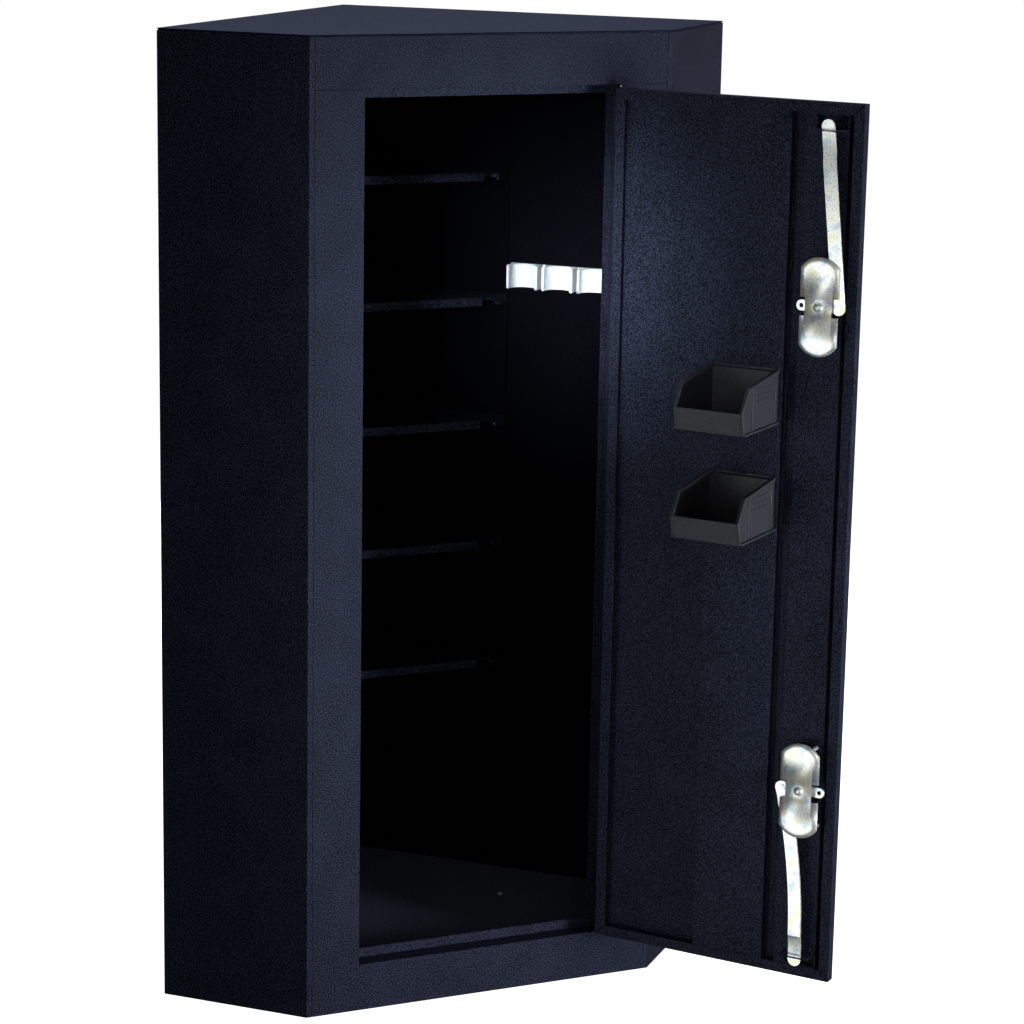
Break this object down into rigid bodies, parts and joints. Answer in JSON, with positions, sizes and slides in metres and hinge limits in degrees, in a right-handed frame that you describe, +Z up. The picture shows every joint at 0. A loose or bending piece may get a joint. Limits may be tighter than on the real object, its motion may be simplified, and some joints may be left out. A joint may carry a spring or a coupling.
{
  "type": "corner gun cabinet",
  "caption": "Five sided steel corner gun cabinet with an inset door on a continuous hinge, rod locks, corner shelves, barrel rests and hanging door bins.",
  "frame": {"origin": "on the floor, on the mirror plane, at the face of the front panels", "axes": "+X to the right of someone facing the cabinet, +Y into the cabinet towards the corner, +Z up"},
  "size_m": [0.8662, 0.9108, 1.397],
  "materials": {
    "powder_coat": "black wrinkle powder coat, fine grain",
    "zinc": "bright zinc plate with a faint yellow tint",
    "lock_metal": "nickel plate",
    "rubber_mat": "matt ribbed mat",
    "white_plastic": "white moulded plastic",
    "bin_plastic": "dark grey moulded plastic"
  },
  "bodies": {
    "cabinet": {"lid": "powder_coat", "left_side_panel": "powder_coat", "right_side_panel": "powder_coat", "left_back_panel": "powder_coat", "right_back_panel": "powder_coat", "header_panel": "powder_coat", "sill_panel": "powder_coat", "left_jamb": "powder_coat", "right_jamb": "powder_coat", "floor_pan": "powder_coat", "floor_mat": "rubber_mat", "left_rear_standard": "powder_coat", "left_front_standard": "powder_coat", "right_rear_standard": "powder_coat", "right_front_standard": "powder_coat", "shelf_1": "powder_coat", "shelf_2": "powder_coat", "shelf_3": "powder_coat", "shelf_4": "powder_coat", "shelf_5": "powder_coat", "shelf_clips": "zinc", "left_barrel_rest": "white_plastic", "right_barrel_rest": "white_plastic", "barrel_rest_screws": "zinc", "hinge_frame_leaf": "powder_coat", "hinge_pin": "zinc"},
    "door": {"hinge_door_leaf": "powder_coat", "door_pan": "powder_coat", "bin_channel": "powder_coat", "lock_channel": "powder_coat", "upper_hard_plate": "powder_coat", "upper_lock_body": "lock_metal", "upper_lock_nut": "lock_metal", "upper_lock_cover": "zinc", "lower_hard_plate": "powder_coat", "lower_lock_body": "lock_metal", "lower_lock_nut": "lock_metal", "lower_lock_cover": "zinc"},
    "upper_cam": {"upper_lock_plug": "lock_metal", "upper_cam_arm": "zinc", "upper_crank_rivet": "zinc", "upper_cover_dome": "zinc"},
    "upper_rod": {"upper_lock_rod": "zinc"},
    "lower_cam": {"lower_lock_plug": "lock_metal", "lower_cam_arm": "zinc", "lower_crank_rivet": "zinc", "lower_cover_dome": "zinc"},
    "lower_rod": {"lower_lock_rod": "zinc"},
    "upper_bin_body": {"upper_bin": "bin_plastic"},
    "lower_bin_body": {"lower_bin": "bin_plastic"}
  },
  "joints": [
    {"name": "door_hinge", "type": "hinge", "parent": "cabinet", "child": "door", "pos_m": [0.1903, -0.0024, 0.696], "axis": [0, 0, 1], "range_deg": [-127.4, 50]},
    {"name": "upper_lock_turn", "type": "hinge", "parent": "door", "child": "upper_cam", "pos_m": [0.36317, -0.28349, 1.044], "axis": [-0.7944, -0.6074, 0], "range_deg": [0, 90]},
    {"name": "upper_rod_pivot", "type": "hinge", "parent": "upper_cam", "child": "upper_rod", "pos_m": [0.37779, -0.30756, 1.044], "axis": [-0.7944, -0.6074, 0], "range_deg": [-96.29, 0]},
    {"name": "lower_lock_turn", "type": "hinge", "parent": "door", "child": "lower_cam", "pos_m": [0.36317, -0.28349, 0.357], "axis": [-0.7944, -0.6074, 0], "range_deg": [0, 90]},
    {"name": "lower_rod_pivot", "type": "hinge", "parent": "lower_cam", "child": "lower_rod", "pos_m": [0.34378, -0.26307, 0.357], "axis": [-0.7944, -0.6074, 0], "range_deg": [-96.08, 0]},
    {"name": "upper_bin_lift", "type": "slide", "parent": "door", "child": "upper_bin_body", "axis": [0, 0, 1], "range_m": [0, 0.012]},
    {"name": "lower_bin_lift", "type": "slide", "parent": "door", "child": "lower_bin_body", "axis": [0, 0, 1], "range_m": [0, 0.012]}
  ],
  "couplings": [
    {"joint": "upper_rod_pivot", "follows": "upper_lock_turn", "ratio": -1.0699},
    {"joint": "lower_rod_pivot", "follows": "lower_lock_turn", "ratio": -1.0675}
  ]
}
